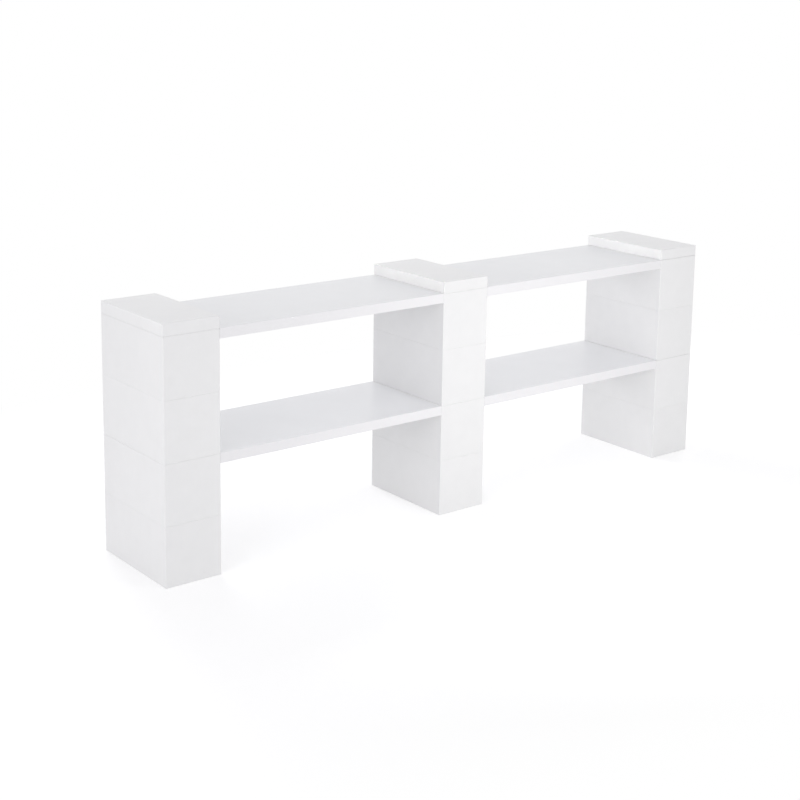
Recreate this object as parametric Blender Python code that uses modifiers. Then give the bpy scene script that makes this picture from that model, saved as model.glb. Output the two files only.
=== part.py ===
"""Low open shelving unit: three columns of stacked hollow plastic blocks carry four shelves in two bays.

Frame: metres, X along the unit, -Y is the front, +Z up, origin at the bottom centre of the whole unit.
Each column is four blocks and a cap, pressed together on round lugs. Where a shelf meets a column, a
sheet-steel saddle lies over the lugs between two blocks, turns down beside the block and turns out
under the shelf, which is screwed to it from below. Everything is pressed or screwed, so nothing moves.
"""

import math

import bmesh
import bpy
from mathutils import Matrix, Vector

# Counts: the block grid, the layers of a column and the layers that have a saddle on top
LUGS_ACROSS = 2
LUGS_DEEP = 4
BLOCK_LAYERS = 4
SADDLE_LAYERS = (2, 4)
SCREWS_PER_FLANGE = 2

# Block: lug pitch sets its width and depth, and the layer height is measured from seat to seat
LUG_PITCH = 0.0762
BLOCK_HEIGHT = 0.1524
BLOCK_WALL = 0.004
TOP_PLATE = 0.004
CORNER_ROUND = 0.003
EDGE_EASE = 0.0008

# Lug on the block's top, open through its middle, and the tube that grips it inside the block above
LUG_RADIUS = 0.025
LUG_HEIGHT = 0.016
LUG_BORE_RADIUS = 0.0125
LUG_GRIP_CLEARANCE = 0.0003
TUBE_WALL = 0.003
WEB_THICKNESS = 0.003
WEB_RECESS = 0.002

# Cap: a low cover of the same footprint
CAP_HEIGHT = 0.030
CAP_TOP_ROUND = 0.002

# Shelf: the clear span between two columns, the board's thickness and its edge bands
SHELF_SPAN = 0.6858
SHELF_THICKNESS = 0.0254
SHELF_INSET = 0.0005
BAND_THICKNESS = 0.001
BAND_EASE = 0.0004

# Saddle: folded sheet steel, its free edges set in a little from the block's faces
SHEET = 0.0015
SADDLE_INSET = 0.0005
LUG_HOLE_CLEARANCE = 0.001
FLANGE_REACH = 0.035

# Pan-head screw, up through the saddle's flange into the shelf
SCREW_RADIUS = 0.002
SCREW_LENGTH = 0.016
SCREW_TIP_LENGTH = 0.003
SCREW_HEAD_RADIUS = 0.004
SCREW_HEAD_HEIGHT = 0.0024
SCREW_END_MARGIN = 0.050

# Clearance between pieces that rest on or fit into each other, and how far a cutter overruns
SEAT_GAP = 0.0003
OVERRUN = 0.002

# Number of sides on round shapes, and of facets on rounded edges
LUG_SIDES = 12
TUBE_SIDES = 8
LUG_HOLE_SIDES = 8
BORE_SIDES = 6
SCREW_SIDES = 6
SQUARE_SIDES = 4
ROUND_FACETS = 2

# Sizes that follow from the values above
BLOCK_WIDTH = LUGS_ACROSS * LUG_PITCH
BLOCK_DEPTH = LUGS_DEEP * LUG_PITCH
BLOCK_BODY = BLOCK_HEIGHT - SEAT_GAP
COLUMN_PITCH = BLOCK_WIDTH + SHELF_SPAN
SADDLE_STEP = SHEET + SEAT_GAP
LUG_FLAT = LUG_RADIUS * math.cos(math.pi / LUG_SIDES)
TUBE_RADIUS = math.hypot(LUG_PITCH, LUG_PITCH) / 2 - LUG_FLAT - LUG_GRIP_CLEARANCE
SHELF_DEPTH = BLOCK_DEPTH - 2 * SHELF_INSET
BOARD_LENGTH = SHELF_SPAN - 2 * (SHEET + 2 * SEAT_GAP)
BOARD_DEPTH = SHELF_DEPTH - 2 * (BAND_THICKNESS + SEAT_GAP)
BAND_LENGTH = SHELF_SPAN - 2 * SEAT_GAP
REBATE_DEPTH = SHEET + SEAT_GAP
SCREW_HOLE_RADIUS = SCREW_RADIUS + SEAT_GAP
SCREW_SHANK = SCREW_LENGTH - SCREW_HEAD_HEIGHT
LUG_HOLE_RADIUS = (LUG_RADIUS + LUG_HOLE_CLEARANCE) / math.cos(math.pi / LUG_HOLE_SIDES)
FLANGE_MIDDLE = BLOCK_WIDTH / 2 + SEAT_GAP + SHEET + FLANGE_REACH / 2

COLUMN_PLACES = {"left": -COLUMN_PITCH, "middle": 0, "right": COLUMN_PITCH}
BAY_PLACES = {"left": -COLUMN_PITCH / 2, "right": COLUMN_PITCH / 2}
LEVEL_NAMES = dict(zip(SADDLE_LAYERS, ("lower", "upper")))


def clear_scene():
    """Removes whatever the file holds, such as Blender's starting cube."""
    for old in list(bpy.data.objects):
        bpy.data.objects.remove(old, do_unlink=True)


def new_collection(name):
    collection = bpy.data.collections.new(name)
    bpy.context.scene.collection.children.link(collection)
    return collection


def new_material(name, colour, roughness, metallic=0):
    material = bpy.data.materials.new(name)
    material.use_nodes = True
    shader = material.node_tree.nodes["Principled BSDF"]
    shader.inputs["Base Color"].default_value = (*colour, 1)
    shader.inputs["Roughness"].default_value = roughness
    shader.inputs["Metallic"].default_value = metallic
    return material


def new_object(name, data, collection):
    made = bpy.data.objects.new(name, data)
    collection.objects.link(made)
    return made


def to_mesh(name, bm):
    mesh = bpy.data.meshes.new(name)
    bm.to_mesh(mesh)
    bm.free()
    return mesh


def grid_places(count, pitch):
    """Places along a line, centred on zero."""
    return [(index - (count - 1) / 2) * pitch for index in range(count)]


def box_mesh(name, boxes):
    """One mesh of separate boxes, each given as its size and its centre."""
    bm = bmesh.new()
    for size, centre in boxes:
        place = Matrix.Translation(centre) @ Matrix.Diagonal((*size, 1))
        bmesh.ops.create_cube(bm, size=1, matrix=place)
    return to_mesh(name, bm)


def rod_mesh(name, radius, sides, bottom, top, places):
    """One mesh of separate upright rods at the given places (x, y)."""
    bm = bmesh.new()
    for x, y in places:
        bmesh.ops.create_cone(
            bm,
            cap_ends=True,
            segments=sides,
            radius1=radius,
            radius2=radius,
            depth=top - bottom,
            matrix=Matrix.Translation((x, y, (bottom + top) / 2)),
        )
    return to_mesh(name, bm)


def combine(piece, name, mesh, operation):
    """Puts a live Boolean on the piece. Its other half stays in the cutters' collection, as a wire guide."""
    tool = new_object(name, mesh, CUTTERS)
    tool.hide_render = True
    tool.display_type = "WIRE"
    change = piece.modifiers.new(name, "BOOLEAN")
    change.operation = operation
    change.solver = "EXACT"
    change.object = tool


def finished_mesh(piece):
    """The piece's mesh with its modifiers carried out, for copies to share. The piece itself is removed."""
    seen = piece.evaluated_get(bpy.context.evaluated_depsgraph_get())
    mesh = bpy.data.meshes.new_from_object(seen)
    mesh.name = piece.name
    bpy.data.objects.remove(piece, do_unlink=True)
    return mesh


def lug_places():
    return [(x, y) for x in grid_places(LUGS_ACROSS, LUG_PITCH) for y in grid_places(LUGS_DEEP, LUG_PITCH)]


def tube_places():
    """A tube stands between every four lugs, so that it grips all of them."""
    across = grid_places(LUGS_ACROSS - 1, LUG_PITCH)
    deep = grid_places(LUGS_DEEP - 1, LUG_PITCH)
    return [(x, y) for x in across for y in deep]


def eased_box_mesh(name, height, top_round, top_facets):
    """The outside of a block or a cap: rounded upright corners, an eased foot and a top edge of its own."""
    bm = bmesh.new()
    place = Matrix.Translation((0, 0, height / 2)) @ Matrix.Diagonal((BLOCK_WIDTH, BLOCK_DEPTH, height, 1))
    bmesh.ops.create_cube(bm, size=1, matrix=place)
    upright = [edge for edge in bm.edges if (edge.verts[0].co - edge.verts[1].co).xy.length < SEAT_GAP]
    bmesh.ops.bevel(
        bm, geom=upright, offset=CORNER_ROUND, segments=ROUND_FACETS, profile=0.5, affect="EDGES"
    )
    for level, offset, facets in ((0, EDGE_EASE, 1), (height, top_round, top_facets)):
        rim = [edge for edge in bm.edges if all(abs(v.co.z - level) < SEAT_GAP for v in edge.verts)]
        bmesh.ops.bevel(bm, geom=rim, offset=offset, segments=facets, profile=0.5, affect="EDGES")
    return to_mesh(name, bm)


def hollow_moulding(name, height, top_round, top_facets):
    """A shell open below, with a web across it at each row of tubes and the tubes that grip the lugs."""
    piece = new_object(name, eased_box_mesh(name, height, top_round, top_facets), UNIT)
    ceiling = height - TOP_PLATE
    root = height - TOP_PLATE / 2
    hollow_size = (BLOCK_WIDTH - 2 * BLOCK_WALL, BLOCK_DEPTH - 2 * BLOCK_WALL, ceiling + OVERRUN)
    hollow = box_mesh(name, [(hollow_size, (0, 0, (ceiling - OVERRUN) / 2))])
    combine(piece, name + "_hollow", hollow, "DIFFERENCE")
    web_size = (BLOCK_WIDTH - BLOCK_WALL, WEB_THICKNESS, root - WEB_RECESS)
    rows = grid_places(LUGS_DEEP - 1, LUG_PITCH)
    webs = box_mesh(name, [(web_size, (0, y, (root + WEB_RECESS) / 2)) for y in rows])
    combine(piece, name + "_webs", webs, "UNION")
    tubes = rod_mesh(name, TUBE_RADIUS, TUBE_SIDES, WEB_RECESS, root, tube_places())
    combine(piece, name + "_tubes", tubes, "UNION")
    bores = rod_mesh(name, TUBE_RADIUS - TUBE_WALL, TUBE_SIDES, -OVERRUN, ceiling, tube_places())
    combine(piece, name + "_tube_bores", bores, "DIFFERENCE")
    return piece


def block_mesh():
    """The full block: a hollow moulding with open lugs on its top."""
    piece = hollow_moulding("block", BLOCK_BODY, EDGE_EASE, 1)
    crown = BLOCK_BODY + LUG_HEIGHT
    lugs = rod_mesh("block", LUG_RADIUS, LUG_SIDES, BLOCK_BODY - TOP_PLATE / 2, crown, lug_places())
    combine(piece, "block_lugs", lugs, "UNION")
    low = BLOCK_BODY - TOP_PLATE - OVERRUN
    bores = rod_mesh("block", LUG_BORE_RADIUS, BORE_SIDES, low, crown + OVERRUN, lug_places())
    combine(piece, "block_lug_bores", bores, "DIFFERENCE")
    return finished_mesh(piece)


def cap_mesh():
    """The cap: a low hollow moulding with a plain top."""
    return finished_mesh(hollow_moulding("cap", CAP_HEIGHT, CAP_TOP_ROUND, ROUND_FACETS))


def fold_points(corner, before, after, radius):
    """The arc that rounds a right-angled fold, from the run that comes to it to the run that leaves it."""
    centre = corner - before * radius + after * radius
    turns = [math.pi / 2 * step / ROUND_FACETS for step in range(ROUND_FACETS + 1)]
    return [centre + before * radius * math.sin(turn) - after * radius * math.cos(turn) for turn in turns]


def saddle_side(side, carries_shelf):
    """Half of the folded sheet's middle line, from the plate outwards. side is 1 for +X and -1 for -X."""
    out = Vector((side, 0))
    down = Vector((0, -1))
    plate_level = SHEET / 2
    if not carries_shelf:
        return [Vector((side * (BLOCK_WIDTH / 2 - SADDLE_INSET), plate_level))]
    radius = EDGE_EASE + SHEET / 2
    web_place = side * (BLOCK_WIDTH / 2 + SEAT_GAP + SHEET / 2)
    flange_level = 3 * SHEET / 2 - SHELF_THICKNESS
    upper = fold_points(Vector((web_place, plate_level)), out, down, radius)
    lower = fold_points(Vector((web_place, flange_level)), down, out, radius)
    tip = Vector((web_place + side * (SHEET / 2 + FLANGE_REACH), flange_level))
    return [*upper, *lower, tip]


def screw_rows():
    """Places of the screws along a flange."""
    spread = BLOCK_DEPTH - 2 * SCREW_END_MARGIN
    return grid_places(SCREWS_PER_FLANGE, spread / (SCREWS_PER_FLANGE - 1))


def saddle_mesh(name, shelf_sides):
    """The folded sheet over one block. shelf_sides holds -1 and 1 for the sides where it carries a shelf."""
    line = [*reversed(saddle_side(-1, -1 in shelf_sides)), *saddle_side(1, 1 in shelf_sides)]
    front = SADDLE_INSET - BLOCK_DEPTH / 2
    bm = bmesh.new()
    near = [bm.verts.new((point.x, front, point.y)) for point in line]
    edges = [bm.edges.new(pair) for pair in zip(near, near[1:])]
    pulled = bmesh.ops.extrude_edge_only(bm, edges=edges)["geom"]
    far = [item for item in pulled if isinstance(item, bmesh.types.BMVert)]
    bmesh.ops.translate(bm, verts=far, vec=(0, -2 * front, 0))
    piece = new_object(name, to_mesh(name, bm), UNIT)
    wall = piece.modifiers.new("sheet", "SOLIDIFY")
    wall.thickness = SHEET
    wall.offset = 0
    wall.use_even_offset = True
    combine(piece, name + "_reliefs", relief_mesh(shelf_sides), "DIFFERENCE")
    free_sides = [side for side in (-1, 1) if side not in shelf_sides]
    if free_sides:
        edge = BLOCK_WIDTH / 2 - SADDLE_INSET
        corners = [(side * edge, end * front) for side in free_sides for end in (-1, 1)]
        bars = rod_mesh(name, CORNER_ROUND, SQUARE_SIDES, -OVERRUN, SHEET + OVERRUN, corners)
        combine(piece, name + "_corners", bars, "DIFFERENCE")
    holes = rod_mesh(name, LUG_HOLE_RADIUS, LUG_HOLE_SIDES, -OVERRUN, SHEET + OVERRUN, lug_places())
    combine(piece, name + "_lug_holes", holes, "DIFFERENCE")
    low = SHEET - SHELF_THICKNESS - OVERRUN
    high = low + SHEET + 2 * OVERRUN
    places = [(side * FLANGE_MIDDLE, y) for side in shelf_sides for y in screw_rows()]
    screw_holes = rod_mesh(name, SCREW_HOLE_RADIUS, SCREW_SIDES, low, high, places)
    combine(piece, name + "_screw_holes", screw_holes, "DIFFERENCE")
    return finished_mesh(piece)


def relief_mesh(shelf_sides):
    """Boxes that bring the saddle's fold and flange in behind the shelf's edge bands."""
    inner = BLOCK_WIDTH / 2 - CORNER_ROUND
    outer = BLOCK_WIDTH / 2 + SEAT_GAP + SHEET + FLANGE_REACH + OVERRUN
    trim = (BLOCK_DEPTH - BOARD_DEPTH) / 2
    size = (outer - inner, trim, SHELF_THICKNESS + 2 * OVERRUN)
    height = SHEET - SHELF_THICKNESS / 2
    across = [side * (inner + outer) / 2 for side in shelf_sides]
    deep = [end * (BOARD_DEPTH + trim) / 2 for end in (-1, 1)]
    return box_mesh("reliefs", [(size, (x, y, height)) for x in across for y in deep])


def screw_places():
    """Places of a shelf's screws, from the middle of its bay: the left end's, then the right end's."""
    reach = COLUMN_PITCH / 2 - FLANGE_MIDDLE
    return [(side * reach, y) for side in (-1, 1) for y in screw_rows()]


def board_mesh():
    """The shelf's core: a rebate under each end takes a flange, and its lower corner clears the fold."""
    size = (BOARD_LENGTH, BOARD_DEPTH, SHELF_THICKNESS)
    piece = new_object("board", box_mesh("board", [(size, (0, 0, SHELF_THICKNESS / 2))]), UNIT)
    length = FLANGE_REACH + OVERRUN
    height = REBATE_DEPTH + OVERRUN
    reach = (BOARD_LENGTH - FLANGE_REACH + OVERRUN) / 2
    rebate_size = (length, BOARD_DEPTH + 2 * OVERRUN, height)
    rebates = [(rebate_size, (side * reach, 0, (REBATE_DEPTH - OVERRUN) / 2)) for side in (-1, 1)]
    combine(piece, "board_rebates", box_mesh("board", rebates), "DIFFERENCE")
    corners = [(side * BOARD_LENGTH / 2, REBATE_DEPTH) for side in (-1, 1)]
    bars = rod_mesh("board", EDGE_EASE, SQUARE_SIDES, -SHELF_DEPTH / 2, SHELF_DEPTH / 2, corners)
    bars.transform(Matrix.Rotation(math.pi / 2, 4, "X"))
    combine(piece, "board_end_eases", bars, "DIFFERENCE")
    top = SCREW_SHANK + SEAT_GAP
    pilots = rod_mesh("board", SCREW_HOLE_RADIUS, SCREW_SIDES, -OVERRUN, top, screw_places())
    combine(piece, "board_pilot_holes", pilots, "DIFFERENCE")
    return finished_mesh(piece)


def band_mesh():
    """The strip that covers the board's front or back edge and hides the folds beside its ends.

    Its outer face, the one at -Y, is eased.
    """
    bm = bmesh.new()
    size = (BAND_LENGTH, BAND_THICKNESS, SHELF_THICKNESS, 1)
    place = Matrix.Translation((0, 0, SHELF_THICKNESS / 2)) @ Matrix.Diagonal(size)
    bmesh.ops.create_cube(bm, size=1, matrix=place)
    outer = [edge for edge in bm.edges if all(vert.co.y < 0 for vert in edge.verts)]
    bmesh.ops.bevel(bm, geom=outer, offset=BAND_EASE, segments=1, profile=0.5, affect="EDGES")
    return to_mesh("band", bm)


def screw_profile():
    """Half of a screw's section, from its tip down to the crown of its head, which hangs under the flange."""
    seat = -SEAT_GAP
    tip = SCREW_SHANK - SEAT_GAP
    return [
        (0, tip),
        (SCREW_RADIUS, tip - SCREW_TIP_LENGTH),
        (SCREW_RADIUS, seat),
        (SCREW_HEAD_RADIUS, seat),
        (SCREW_HEAD_RADIUS, seat - SCREW_HEAD_HEIGHT / 2),
        (SCREW_HEAD_RADIUS / 2, seat - SCREW_HEAD_HEIGHT),
        (0, seat - SCREW_HEAD_HEIGHT),
    ]


def screw_mesh():
    """One screw: its profile turned round."""
    bm = bmesh.new()
    points = [bm.verts.new((radius, 0, z)) for radius, z in screw_profile()]
    for pair in zip(points, points[1:]):
        bm.edges.new(pair)
    piece = new_object("screw", to_mesh("screw", bm), UNIT)
    turn = piece.modifiers.new("turn", "SCREW")
    turn.steps = SCREW_SIDES
    turn.render_steps = SCREW_SIDES
    turn.use_merge_vertices = True
    turn.merge_threshold = SEAT_GAP / 10
    mesh = finished_mesh(piece)
    mesh.shade_smooth()
    mesh.set_sharp_from_angle(angle=math.radians(30))
    return mesh


def saddle_base(layer):
    """Underside of the saddle on the given number of layers, where each lower saddle has raised the stack."""
    return layer * BLOCK_HEIGHT + sum(SADDLE_STEP for below in SADDLE_LAYERS if below < layer)


def layer_base(layer):
    """Underside of what is stacked on the given number of layers."""
    return layer * BLOCK_HEIGHT + sum(SADDLE_STEP for below in SADDLE_LAYERS if below <= layer)


def place_piece(name, mesh, material, parent, location):
    """One named piece of the unit, which may share its mesh with others."""
    made = new_object(name, mesh, UNIT)
    made.parent = parent
    made.location = location
    if not mesh.materials:
        mesh.materials.append(material)
    return made


def build_column(side, x):
    """Four blocks, two saddles and a cap, each seated on the one below."""
    foot = new_object(side + "_column", None, UNIT)
    foot.location = (x, 0, 0)
    for layer in range(BLOCK_LAYERS):
        name = f"{side}_block_{layer + 1}"
        place_piece(name, MESHES["block"], BLOCK_PLASTIC, foot, (0, 0, layer_base(layer)))
    for layer, level in LEVEL_NAMES.items():
        name = f"{side}_{level}_saddle"
        place_piece(name, MESHES[side + "_saddle"], SADDLE_STEEL, foot, (0, 0, saddle_base(layer)))
    place_piece(side + "_cap", MESHES["cap"], CAP_PLASTIC, foot, (0, 0, layer_base(BLOCK_LAYERS)))


def build_bay(side, x):
    """Two shelves, each a board with a band on its front edge and its back edge, and its screws."""
    middle = new_object(side + "_bay", None, UNIT)
    middle.location = (x, 0, 0)
    edge = (SHELF_DEPTH - BAND_THICKNESS) / 2
    for layer, level in LEVEL_NAMES.items():
        name = f"{side}_{level}_shelf"
        underside = saddle_base(layer) + SHEET - SHELF_THICKNESS
        place_piece(name + "_board", MESHES["board"], BOARD_LAMINATE, middle, (0, 0, underside))
        place_piece(name + "_front_band", MESHES["band"], BAND_PLASTIC, middle, (0, -edge, underside))
        back = place_piece(name + "_back_band", MESHES["band"], BAND_PLASTIC, middle, (0, edge, underside))
        back.rotation_euler.z = math.pi
        for number, (across, deep) in enumerate(screw_places(), start=1):
            place = (across, deep, underside)
            place_piece(f"{name}_screw_{number}", MESHES["screw"], SCREW_STEEL, middle, place)


clear_scene()
UNIT = new_collection("shelving_unit")
CUTTERS = new_collection("cutters")

BLOCK_PLASTIC = new_material("block_plastic", (0.86, 0.86, 0.87), 0.5)
CAP_PLASTIC = new_material("cap_plastic", (0.86, 0.86, 0.87), 0.42)
BOARD_LAMINATE = new_material("board_laminate", (0.84, 0.85, 0.87), 0.35)
BAND_PLASTIC = new_material("band_plastic", (0.87, 0.87, 0.88), 0.4)
SADDLE_STEEL = new_material("saddle_powder_coat", (0.82, 0.82, 0.82), 0.45)
SCREW_STEEL = new_material("screw_zinc", (0.62, 0.63, 0.65), 0.3, metallic=1)

MESHES = {
    "block": block_mesh(),
    "cap": cap_mesh(),
    "left_saddle": saddle_mesh("left_saddle", (1,)),
    "middle_saddle": saddle_mesh("middle_saddle", (-1, 1)),
    "right_saddle": saddle_mesh("right_saddle", (-1,)),
    "board": board_mesh(),
    "band": band_mesh(),
    "screw": screw_mesh(),
}
for column_side, column_place in COLUMN_PLACES.items():
    build_column(column_side, column_place)
for bay_side, bay_place in BAY_PLACES.items():
    build_bay(bay_side, bay_place)
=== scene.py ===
# %% [markdown]
# # A low shelving unit on stacked plastic blocks
#
# Three columns of hollow white blocks carry four shelves in two bays. The blocks press together on round
# lugs, a plain cap closes each column, and thin steel saddles, caught between the blocks, hold the shelves.
# Almost everything is white on white, so the look rests on small things: how round each edge is, how tight
# each seam is, how one white differs from the next, and where the light falls.
#
# The solids of the real construction come in first, as a frame. Each piece is then modelled again on its
# solid's own place, with the rounded edges and the surface that the real piece has.

# %% Load the frame
import math
import random

import bmesh
import bpy
from mathutils import Matrix, Vector


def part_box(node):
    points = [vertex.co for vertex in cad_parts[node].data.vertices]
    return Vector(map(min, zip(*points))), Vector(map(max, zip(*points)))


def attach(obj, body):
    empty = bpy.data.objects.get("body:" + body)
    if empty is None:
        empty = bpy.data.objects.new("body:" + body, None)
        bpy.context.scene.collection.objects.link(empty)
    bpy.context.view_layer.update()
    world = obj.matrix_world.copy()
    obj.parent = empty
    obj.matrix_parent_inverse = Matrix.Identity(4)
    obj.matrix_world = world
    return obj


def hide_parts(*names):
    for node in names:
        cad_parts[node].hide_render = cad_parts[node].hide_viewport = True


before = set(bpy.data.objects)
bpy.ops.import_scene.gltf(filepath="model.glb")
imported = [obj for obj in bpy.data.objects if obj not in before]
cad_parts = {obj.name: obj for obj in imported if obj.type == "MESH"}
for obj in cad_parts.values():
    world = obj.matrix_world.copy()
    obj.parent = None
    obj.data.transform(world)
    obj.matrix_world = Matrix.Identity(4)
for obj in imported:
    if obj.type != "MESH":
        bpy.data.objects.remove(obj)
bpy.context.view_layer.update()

# %% [markdown]
# ## The camera
#
# The camera comes first, because it decides which edges show. The picture was taken from the left, a little
# above the caps, with a long lens. Its upright edges stay almost parallel, as with a camera that is held
# nearly level and whose frame is shifted down. The turn is built from three turns in order: the turn about
# the vertical, the tilt, and the roll about the line of sight.

# %% Set up the camera
CAMERA_PLACE = (-2.5662, -3.1177, 1.4437)
CAMERA_TURN = math.radians(38.28)
CAMERA_TILT = math.radians(10.48)
CAMERA_ROLL = math.radians(0.89)
FOCAL_LENGTH_MM = 67.74
SHIFT_DOWN_SHARE = 0.1875


def add_camera():
    lens = bpy.data.cameras.new("photo_camera")
    lens.lens = FOCAL_LENGTH_MM
    lens.shift_y = -SHIFT_DOWN_SHARE
    camera = bpy.data.objects.new("photo_camera", lens)
    bpy.context.scene.collection.objects.link(camera)
    about = Matrix.Rotation(-CAMERA_TURN, 4, "Z")
    tilt = Matrix.Rotation(math.pi / 2 - CAMERA_TILT, 4, "X")
    roll = Matrix.Rotation(CAMERA_ROLL, 4, "Z")
    camera.matrix_world = Matrix.Translation(CAMERA_PLACE) @ about @ tilt @ roll
    bpy.context.scene.camera = camera
    print("camera:", FOCAL_LENGTH_MM, "mm lens at", CAMERA_PLACE)


add_camera()

# %% [markdown]
# ## Adding shapes, as by hand
#
# Blender's operators act on whatever is selected, just as they do by hand, so each helper first clears the
# selection. New shapes start as boxes or cylinders at their real size and place. Their place is then moved
# into the mesh, so that the object itself sits at the origin and patterns on it don't slide.

# %% Define how shapes are added
def deselect_all():
    if bpy.context.object and bpy.context.object.mode == "EDIT":
        bpy.ops.object.mode_set(mode="OBJECT")
    bpy.ops.object.select_all(action="DESELECT")


def make_active(piece):
    deselect_all()
    piece.select_set(True)
    bpy.context.view_layer.objects.active = piece


def settle(piece, name):
    """Moves the object's place, turn and scale into its mesh, and names it."""
    make_active(piece)
    bpy.ops.object.transform_apply(location=True, rotation=True, scale=True)
    piece.name = name
    piece.data.name = name
    return piece


def add_box(name, low, high):
    deselect_all()
    low, high = Vector(low), Vector(high)
    bpy.ops.mesh.primitive_cube_add(size=1, location=(low + high) / 2, scale=high - low)
    return settle(bpy.context.object, name)


def add_rods(name, radius, sides, bottom, top, places):
    """Upright cylinders at the given places, joined into one object."""
    rods = []
    for x, y in places:
        deselect_all()
        bpy.ops.mesh.primitive_cylinder_add(
            vertices=sides, radius=radius, depth=top - bottom, location=(x, y, (bottom + top) / 2)
        )
        rods.append(bpy.context.object)
    make_active(rods[0])
    for rod in rods[1:]:
        rod.select_set(True)
    if len(rods) > 1:
        bpy.ops.object.join()
    return settle(rods[0], name)


# %% [markdown]
# ## Picking edges and faces
#
# By hand, one clicks on the edges to shape. In code, a test on their place or direction picks them, and small
# tests are put together, such as "upright" and "at the left end". A place may be off by a fiftieth of a
# millimetre, because meshes hold rounded numbers.

# %% Define how edges and faces are picked
SAME_PLACE = 0.00002
SHARP = math.radians(60)


def pick(piece, kind, test):
    """Opens the piece in edit mode with only the edges or faces that pass the test selected."""
    make_active(piece)
    bpy.ops.object.mode_set(mode="EDIT")
    bpy.ops.mesh.select_mode(type=kind)
    bpy.ops.mesh.select_all(action="DESELECT")
    bm = bmesh.from_edit_mesh(piece.data)
    for item in bm.edges if kind == "EDGE" else bm.faces:
        if test(item):
            item.select_set(True)
    bmesh.update_edit_mesh(piece.data)


def all_at(axis, *levels):
    """A test for edges and faces that lie at one of the levels on an axis (0, 1 or 2)."""

    def lies(item):
        return any(all(abs(vert.co[axis] - level) < SAME_PLACE for vert in item.verts) for level in levels)

    return lies


def along(axis):
    """A test for edges that run along an axis."""

    def runs(edge):
        run = edge.verts[1].co - edge.verts[0].co
        return run.length - abs(run[axis]) < SAME_PLACE

    return runs


def meets_all(*tests):
    return lambda item: all(test(item) for test in tests)


def is_sharp(edge):
    return edge.calc_face_angle(0) > SHARP


# %% [markdown]
# ## Rounding, pulling and combining
#
# What is picked is bevelled, or pulled out by extruding it. Cutting across divides the faces that cross a
# line, so that a part of them can be picked. A Boolean modifier is applied as soon as it is made, and the
# shape that did the cutting is removed.

# %% Define how shapes are changed
CIRCLE_PROFILE = 0.5


def round_off(piece, test, radius, facets):
    """Bevels the edges that pass the test."""
    pick(piece, "EDGE", test)
    bpy.ops.mesh.bevel(
        offset=radius, segments=facets, profile=CIRCLE_PROFILE, affect="EDGES", clamp_overlap=True
    )
    bpy.ops.object.mode_set(mode="OBJECT")


def pull(piece, kind, test, *shifts):
    """Extrudes the edges or faces that pass the test, by each shift in turn."""
    pick(piece, kind, test)
    for shift in shifts:
        bpy.ops.mesh.extrude_region_move(TRANSFORM_OT_translate={"value": shift})
    bpy.ops.object.mode_set(mode="OBJECT")


def cut_across(piece, x):
    """Divides every face that crosses a place along the unit."""
    pick(piece, "FACE", lambda face: True)
    bpy.ops.mesh.bisect(plane_co=(x, 0, 0), plane_no=(1, 0, 0))
    bpy.ops.object.mode_set(mode="OBJECT")


def combine(piece, tool, operation):
    """Joins the tool to the piece or cuts it away, and removes the tool."""
    change = piece.modifiers.new(operation.lower(), "BOOLEAN")
    change.operation = operation
    change.solver = "EXACT"
    change.object = tool
    make_active(piece)
    bpy.ops.object.modifier_apply(modifier=change.name)
    bpy.data.objects.remove(tool, do_unlink=True)


# %% [markdown]
# ## Shading and measuring
#
# Smooth shading with weighted normals keeps the large faces flat and lets only the narrow rounded ones turn,
# which is how a moulded edge catches the light. Each pattern is measured when it is done. An open edge would
# be a hole in its surface, and the volume tells a hollow moulding from a full block.

# %% Define how pieces are shaded and measured
SMOOTH_BELOW = math.radians(35)
MM_PER_METRE = 1000
ML_PER_CUBIC_METRE = 1000000


def shade(piece):
    """Smooth shading in which the large faces stay flat."""
    make_active(piece)
    bpy.ops.object.shade_smooth_by_angle(angle=SMOOTH_BELOW)
    even = piece.modifiers.new("even_shading", "WEIGHTED_NORMAL")
    even.keep_sharp = True
    bpy.ops.object.modifier_apply(modifier=even.name)


def report(piece):
    """Prints a piece's size and volume, and whether its surface is closed."""
    bm = bmesh.new()
    bm.from_mesh(piece.data)
    open_edges = sum(not edge.is_manifold for edge in bm.edges)
    triangles = sum(len(face.verts) - 2 for face in bm.faces)
    size = [round(side * MM_PER_METRE, 2) for side in piece.dimensions]
    volume = round(bm.calc_volume() * ML_PER_CUBIC_METRE, 1)
    bm.free()
    print(f"{piece.name}: {size} mm, {triangles} triangles, {open_edges} open edges, {volume} ml")


# %% [markdown]
# ## The moulded shell
#
# Each block is an injection moulding with walls a few millimetres thick, open below. Its upright corners
# are rounded by almost two millimetres, because the mould is milled that way. The top and bottom edges are
# barely eased, so that stacked blocks meet in a seam that hardly shows: a wide bevel there would ruin the
# look.
#
# A box gives the outside. Its corners are bevelled first and the rims after them, so that the rims follow
# the rounded corners. A second box, rounded in the same way, is then cut out from below. What cuts or joins
# runs a little past the surface, because faces that coincide confuse a Boolean.

# %% Shape the shell that blocks and caps share
OVERRUN = 0.002
CORNER_ROUND = 0.0018
CORNER_FACETS = 6
EDGE_EASE = 0.0005
EDGE_FACETS = 3
WALL = 0.004
TOP_PLATE = 0.004
INNER_ROUND = 0.0015
INNER_FACETS = 3


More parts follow.
